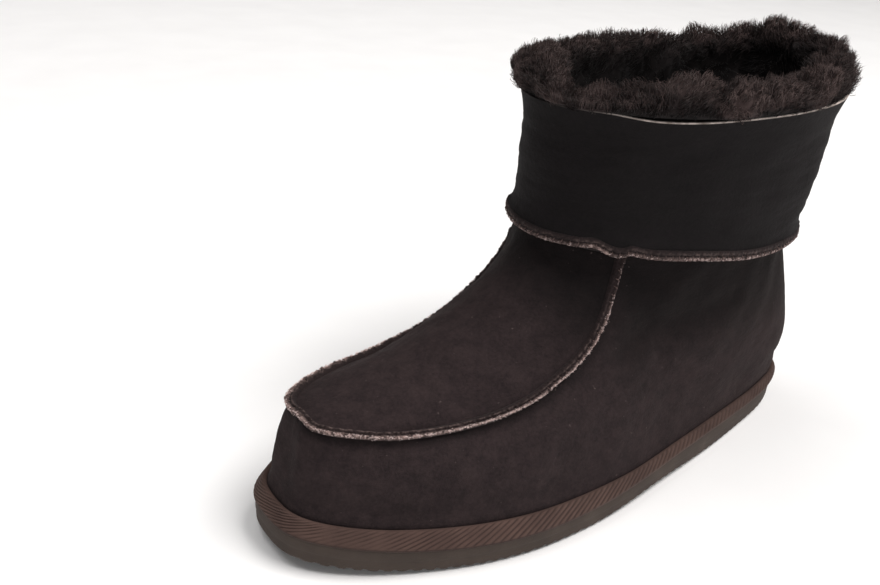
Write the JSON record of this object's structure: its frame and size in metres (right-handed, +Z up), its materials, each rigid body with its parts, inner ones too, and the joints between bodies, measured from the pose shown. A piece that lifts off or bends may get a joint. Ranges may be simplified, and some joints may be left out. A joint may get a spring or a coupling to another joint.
{
  "type": "moccasin slipper boot",
  "caption": "Ankle-high sheepskin slipper boot with a moccasin apron toe, raised sewn seams, a short leather shaft, a deep fur collar and a ribbed foam sole.",
  "frame": {"origin": "on the floor, under the middle of the part's box", "axes": "+X towards the toe, +Y towards the outer side of the foot, +Z up"},
  "size_m": [0.2904, 0.1111, 0.1897],
  "materials": {
    "outsole": "matt grey-brown foam rubber",
    "rand": "brown band with fine slanted ribs",
    "insole": "brown pile",
    "upper": "dark brown suede with a short nap",
    "apron": "dark brown suede with a short nap",
    "apron_seam": "suede edge with pale whip stitches",
    "shaft": "dark smooth suede with a fine level grain",
    "shaft_seam": "suede flange with pale whip stitches",
    "fur_collar": "deep brown fur"
  },
  "bodies": {
    "root": {"outsole": "outsole", "rand": "rand", "insole": "insole", "upper": "upper", "apron": "apron", "apron_seam": "apron_seam", "shaft": "shaft", "shaft_seam": "shaft_seam", "fur_collar": "fur_collar"}
  },
  "joints": []
}
